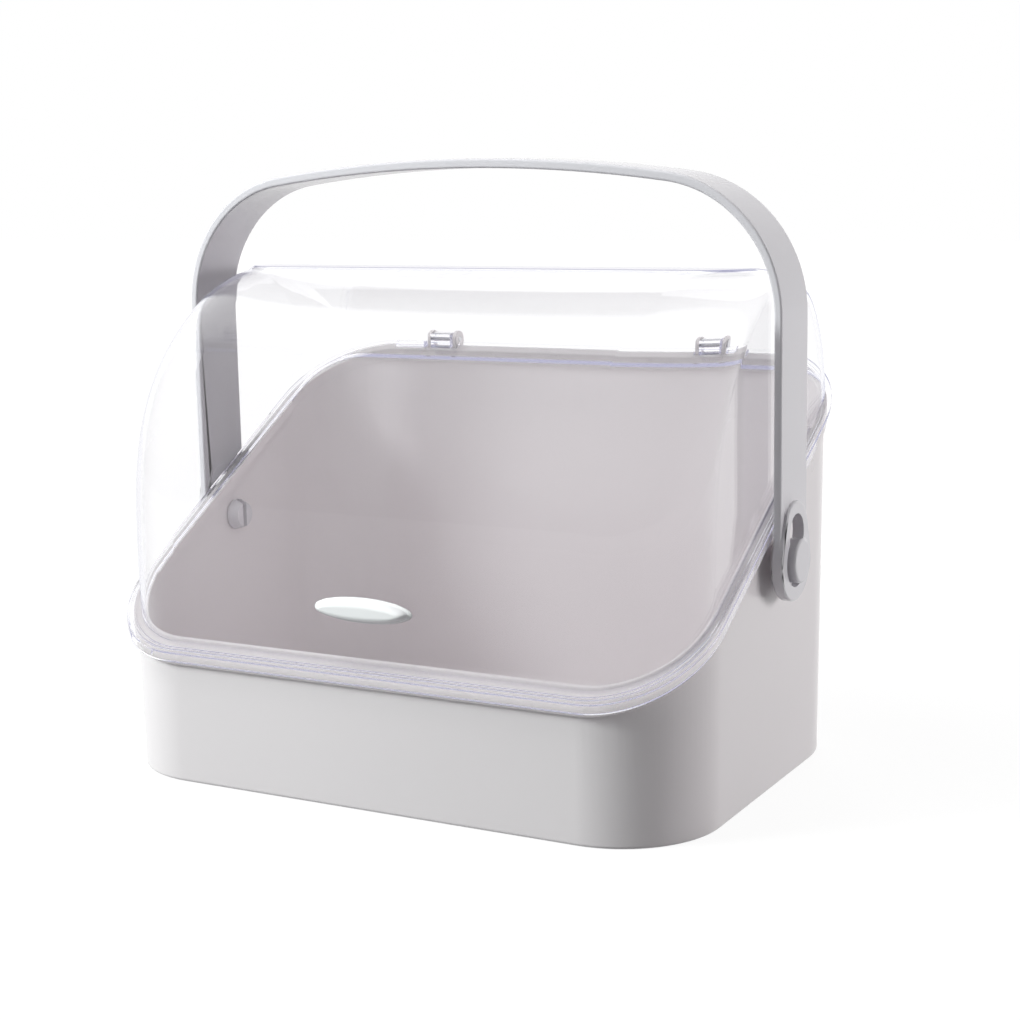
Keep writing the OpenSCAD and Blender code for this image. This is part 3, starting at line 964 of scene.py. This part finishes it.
def moulded_plastic(name, colour, shade, roughness, coat):
    """Opaque injection-moulded plastic: faint flow marks in its colour, and a skin that follows a
    polished tool, so that it shines softly, waves a little and is duller where the melt met."""
    material, tree = new_material(name)
    place = add_node(tree, "ShaderNodeTexCoord")
    flow = add_node(
        tree,
        "ShaderNodeTexNoise",
        {"Scale": 1 / (FLOW * METRES), "Detail": 2.0},
        {"Vector": place.outputs["Object"]},
    )
    tint = add_node(
        tree,
        "ShaderNodeMix",
        {"data_type": "RGBA", COLOUR_A: linear(colour), COLOUR_B: linear(shade)},
        {0: flow.outputs[0]},
    )
    shine = add_node(
        tree,
        "ShaderNodeMapRange",
        {"To Min": roughness - 0.03, "To Max": roughness + 0.05},
        {"Value": flow.outputs[0]},
    )
    peel = add_node(
        tree,
        "ShaderNodeTexNoise",
        {"Scale": 1 / (PEEL * METRES), "Detail": 1.0},
        {"Vector": place.outputs["Object"]},
    )
    bump = add_node(
        tree,
        "ShaderNodeBump",
        {"Strength": 0.02, "Distance": PEEL_DEEP * METRES},
        {"Height": peel.outputs[0]},
    )
    skin = add_node(
        tree,
        "ShaderNodeBsdfPrincipled",
        {"IOR": 1.5, "Coat Weight": coat, "Coat Roughness": 0.08},
        {
            "Base Color": tint.outputs[MIXED],
            "Roughness": shine.outputs[0],
            "Normal": bump.outputs[0],
        },
    )
    add_node(tree, "ShaderNodeOutputMaterial", links={0: skin.outputs[0]})
    return material


MIRRORINGS = 2.5  # light mirrored more often than this inside the sheet, where the render would stop and leave black, gets a painted lilac glow instead


def clear_polystyrene():
    """Clear moulded polystyrene: water-clear walls, polished as their tool was, and a lilac cast
    where the eye looks along the sheet. Where light has mirrored inside the sheet more often than
    the render follows, a painted pale lilac glow stands in for the light that would come out there."""
    material, tree = new_material("clear_polystyrene")
    pane = add_node(
        tree,
        "ShaderNodeBsdfPrincipled",
        {
            "Base Color": linear("#FFFFFF"),
            "Roughness": 0.015,
            "IOR": 1.37,
            "Transmission Weight": 1.0,
        },
    )
    path = add_node(tree, "ShaderNodeLightPath")
    through = add_node(tree, "ShaderNodeBsdfTransparent", {"Color": linear("#C4C4C4")})
    # painted light: where a ray has mirrored between the two faces of the sheet too often, the
    # sheet glows pale lilac instead of going black
    painted_glow_mask = add_node(
        tree,
        "ShaderNodeMath",
        {"operation": "GREATER_THAN", 1: MIRRORINGS},
        {0: path.outputs["Glossy Depth"]},
    )
    # painted light: the sheet's own pale lilac glow, not a lamp
    painted_glow = add_node(tree, "ShaderNodeEmission", {"Color": linear("#BBBBD2"), "Strength": 1.0})
    sheet = add_node(
        tree,
        "ShaderNodeMixShader",
        links={0: painted_glow_mask.outputs[0], 1: pane.outputs[0], 2: painted_glow.outputs[0]},
    )
    both = add_node(
        tree,
        "ShaderNodeMixShader",
        links={0: path.outputs["Is Shadow Ray"], 1: sheet.outputs[0], 2: through.outputs[0]},
    )
    depth = add_node(
        tree, "ShaderNodeVolumeAbsorption", {"Color": linear("#C4C2EC"), "Density": 8.0}
    )
    add_node(tree, "ShaderNodeOutputMaterial", links={0: both.outputs[0], 1: depth.outputs[0]})
    return material


MARK = (8, 0.3, 0.3)  # mm: length and widths of one drawn mark, coarser than the real ones
MARK_DEEP = 0.02  # mm, of which the bump's strength leaves a tenth


def steel_wire():
    """Drawn steel wire: bright, with fine marks along its length that blur its gloss."""
    material, tree = new_material("drawn_steel_wire")
    place = add_node(tree, "ShaderNodeTexCoord")
    stretch = add_node(
        tree,
        "ShaderNodeMapping",
        {"Scale": tuple(1 / (size * METRES) for size in MARK)},
        {"Vector": place.outputs["Object"]},
    )
    marks = add_node(
        tree, "ShaderNodeTexNoise", {"Scale": 1.0, "Detail": 2.0}, {"Vector": stretch.outputs[0]}
    )
    blur = add_node(
        tree, "ShaderNodeMapRange", {"To Min": 0.3, "To Max": 0.45}, {"Value": marks.outputs[0]}
    )
    scratch = add_node(
        tree,
        "ShaderNodeBump",
        {"Strength": 0.1, "Distance": MARK_DEEP * METRES},
        {"Height": marks.outputs[0]},
    )
    skin = add_node(
        tree,
        "ShaderNodeBsdfPrincipled",
        {"Base Color": linear("#D6D6D9"), "Metallic": 1.0},
        {"Roughness": blur.outputs[0], "Normal": scratch.outputs[0]},
    )
    add_node(tree, "ShaderNodeOutputMaterial", links={0: skin.outputs[0]})
    return material


def dress(obj, material, body, slot, *nodes):
    """Bring a piece to metres, give it its finish, hang it on the body it rides on, and hide the
    model's parts that it stands for.
    """
    obj.scale = (METRES, METRES, METRES)
    apply_place(obj)
    obj.data.materials.clear()
    obj.data.materials.append(material)
    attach(obj, body)
    if nodes:
        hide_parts(*nodes)


# ---------------------------------------------------------------- the object

tub_white = moulded_plastic("gloss_white_polypropylene", "#EAE4E6", "#E6E0E2", 0.28, 0.25)
handle_white = moulded_plastic("gloss_white_abs", "#DEDBE0", "#D9D6DB", 0.25, 0.3)
pull_white = moulded_plastic("gloss_white_abs_pull", "#F7F7F8", "#F4F4F5", 0.25, 0.3)
clear = clear_polystyrene()
wire = steel_wire()

dress(make_tub(), tub_white, "tub", "tub", "tub")
dress(make_lid(), clear, "lid", "lid", "lid")
dress(make_pull(), pull_white, "lid", "lid_pull", "lid_pull")
dress(make_handle(), handle_white, "handle", "handle", "handle")
for side, end in ((-1, "left"), (1, "right")):
    dress(pivot_pin(side), handle_white, "tub", "pivot_pin", "pivot_pin_" + end)
    dress(hinge_pin(side), wire, "tub", "hinge_pin", "hinge_pin_" + end)

# ---------------------------------------------------------------- floor, light and camera

GLOSS_ROOM = (0.6, 1.0)  # how bright the room looks in a gloss, in front and behind
CLEAR_ROOM = (1.0, 1.25)  # the same through the clear lid
ROOM_TURN = (-0.4, 0.3)  # Y of the direction where the front part ends and the back part starts


def seen_rays(tree):
    """1 where the camera, a gloss or clear plastic looks, 0 where a surface only lights another."""
    path = add_node(tree, "ShaderNodeLightPath")
    seen = path.outputs["Is Camera Ray"]
    for kind in ("Is Glossy Ray", "Is Transmission Ray"):
        seen = add_node(
            tree, "ShaderNodeMath", {"operation": "MAXIMUM"}, {0: seen, 1: path.outputs[kind]}
        ).outputs[0]
    return seen


def pale_floor():
    """White to the eye, with part of the object's shadow kept near it; dim as a bounce."""
    material, tree = new_material("pale_floor")
    seen = seen_rays(tree)
    place = add_node(tree, "ShaderNodeTexCoord")
    away = add_node(
        tree, "ShaderNodeVectorMath", {"operation": "LENGTH"}, {0: place.outputs["Object"]}
    )
    # metres from the middle between which the last of the shadow goes over into plain white
    white_part = add_node(
        tree,
        "ShaderNodeMapRange",
        {"From Min": 0.5, "From Max": 1.4, "To Min": 0.85, "To Max": 1.0},
        {"Value": away.outputs["Value"]},
    )
    share = add_node(
        tree, "ShaderNodeMath", {"operation": "MULTIPLY"}, {0: seen, 1: white_part.outputs[0]}
    )
    paint = add_node(
        tree,
        "ShaderNodeMix",
        {"data_type": "RGBA", COLOUR_A: linear("#88888A"), COLOUR_B: linear("#E6E6E6")},
        {0: seen},
    )
    matt = add_node(tree, "ShaderNodeBsdfDiffuse", links={"Color": paint.outputs[MIXED]})
    white = add_node(tree, "ShaderNodeEmission", {"Strength": 1.08})
    both = add_node(
        tree,
        "ShaderNodeMixShader",
        links={0: share.outputs[0], 1: matt.outputs[0], 2: white.outputs[0]},
    )
    add_node(tree, "ShaderNodeOutputMaterial", links={0: both.outputs[0]})
    return material


def make_floor():
    """A wide plain floor under the object."""
    bpy.ops.object.select_all(action="DESELECT")
    bpy.ops.mesh.primitive_plane_add(size=12, location=(0, 0, 0))
    floor = rename(bpy.context.object, "floor")
    floor.data.materials.append(pale_floor())


def make_world(ambient):
    """Even light from all round. The camera sees white everywhere. A gloss and the clear lid see
    white behind the object and a dimmer room in front of it, which draws their edges."""
    world = bpy.data.worlds.new("studio")
    bpy.context.scene.world = world
    world.use_nodes = True
    tree = world.node_tree
    tree.nodes.clear()
    path = add_node(tree, "ShaderNodeLightPath")
    way = add_node(tree, "ShaderNodeTexCoord")
    parts = add_node(tree, "ShaderNodeSeparateXYZ", links={0: way.outputs["Generated"]})
    strength = path.outputs["Is Camera Ray"]
    for kind, (front, back) in (
        ("Is Glossy Ray", GLOSS_ROOM),
        ("Is Transmission Ray", CLEAR_ROOM),
    ):
        room = add_node(
            tree,
            "ShaderNodeMapRange",
            {
                "From Min": ROOM_TURN[0],
                "From Max": ROOM_TURN[1],
                "To Min": front,
                "To Max": back,
            },
            {"Value": parts.outputs["Y"]},
        )
        seen = add_node(
            tree,
            "ShaderNodeMath",
            {"operation": "MULTIPLY"},
            {0: path.outputs[kind], 1: room.outputs[0]},
        )
        strength = add_node(
            tree, "ShaderNodeMath", {"operation": "MAXIMUM"}, {0: strength, 1: seen.outputs[0]}
        ).outputs[0]
    strength = add_node(
        tree, "ShaderNodeMath", {"operation": "MAXIMUM", 1: ambient}, {0: strength}
    ).outputs[0]
    light = add_node(
        tree, "ShaderNodeBackground", {"Color": linear("#FFFFFF")}, {"Strength": strength}
    )
    add_node(tree, "ShaderNodeOutputWorld", links={0: light.outputs[0]})


LAMP_AIM = Vector((0, 0, 0.12))  # the point that all lamps face


def area_light(name, azimuth, elevation, distance, size, watts, colour="#FFFFFF"):
    """A square soft lamp that faces the object. Azimuth 0 is in front and 90 on the right, and the
    distance and the size are in metres."""
    a, e = math.radians(azimuth), math.radians(elevation)
    away = Vector((math.sin(a) * math.cos(e), -math.cos(a) * math.cos(e), math.sin(e)))
    lamp = bpy.data.lights.new(name, "AREA")
    lamp.shape = "SQUARE"
    lamp.size = size
    lamp.energy = watts
    lamp.color = linear(colour)[:3]
    obj = bpy.data.objects.new(name, lamp)
    bpy.context.scene.collection.objects.link(obj)
    obj.location = LAMP_AIM + away * distance
    obj.rotation_mode = "QUATERNION"
    obj.rotation_quaternion = away.to_track_quat("Z", "Y")
    obj.visible_camera = False
    obj.visible_glossy = False
    obj.visible_transmission = False


CAMERA_AT = Vector((0.4583, -0.8025, 0.2827))
CAMERA_YAW = math.radians(28.74)
CAMERA_PITCH = math.radians(9.97)
CAMERA_ROLL = -0.019
CAMERA_LENS = 68.52  # mm
CAMERA_SENSOR = 36  # mm


def make_camera():
    """The camera, right of the front, as high as the handle's top and turned a little down."""
    camera = bpy.data.cameras.new("camera")
    camera.lens = CAMERA_LENS
    camera.sensor_width = CAMERA_SENSOR
    camera.clip_start = 0.05
    obj = bpy.data.objects.new("camera", camera)
    bpy.context.scene.collection.objects.link(obj)
    yaw = Matrix.Rotation(CAMERA_YAW, 4, "Z")
    pitch = Matrix.Rotation(math.pi / 2 - CAMERA_PITCH, 4, "X")
    roll = Matrix.Rotation(CAMERA_ROLL, 4, "Z")
    obj.matrix_world = Matrix.Translation(CAMERA_AT) @ yaw @ pitch @ roll
    bpy.context.scene.camera = obj


make_floor()
make_world(ambient=0.17)
area_light(
    "key_front_left",
    azimuth=-45,
    elevation=28,
    distance=1.6,
    size=0.45,
    watts=23.5,
    colour="#F5FCFA",
)
area_light("rim_back_right", azimuth=118, elevation=4, distance=1.6, size=0.7, watts=14.5)
area_light("top_left", azimuth=-50, elevation=64, distance=1.5, size=0.8, watts=10.5)
area_light("fill_back", azimuth=195, elevation=25, distance=1.6, size=1.0, watts=10)
make_camera()
bpy.context.scene.view_settings.view_transform = "Standard"
